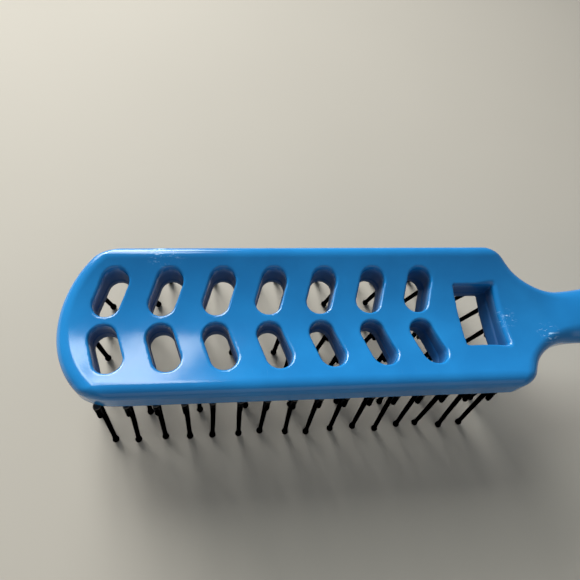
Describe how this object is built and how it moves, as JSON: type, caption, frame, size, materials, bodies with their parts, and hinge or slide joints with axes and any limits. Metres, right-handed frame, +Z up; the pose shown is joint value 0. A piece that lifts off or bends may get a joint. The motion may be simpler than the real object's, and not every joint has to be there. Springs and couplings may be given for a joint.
{
  "type": "vented hair brush",
  "caption": "Flat vented hair brush: a long moulded head with slanted vents, a round handle with a hanging hole, and ball-tipped pins on strips.",
  "frame": {"origin": "middle of the overall length and width, in the plane that the pin tips touch", "axes": "+X from the tip of the head to the end of the handle, +Y across the head to the far side strip, +Z up out of the deck, pins down"},
  "size_m": [0.232, 0.0518, 0.0368],
  "materials": {
    "body_plastic": "glossy blue moulded plastic with light wear",
    "pin_nylon": "satin black nylon"
  },
  "bodies": {
    "root": {"body": "body_plastic", "side_strip_near": "pin_nylon", "side_strip_far": "pin_nylon", "nose_strip": "pin_nylon", "cross_strip_1": "pin_nylon", "cross_strip_2": "pin_nylon", "cross_strip_3": "pin_nylon", "cross_strip_4": "pin_nylon", "cross_strip_5": "pin_nylon", "cross_strip_6": "pin_nylon", "cross_strip_7": "pin_nylon", "shoulder_strip": "pin_nylon"}
  },
  "joints": []
}
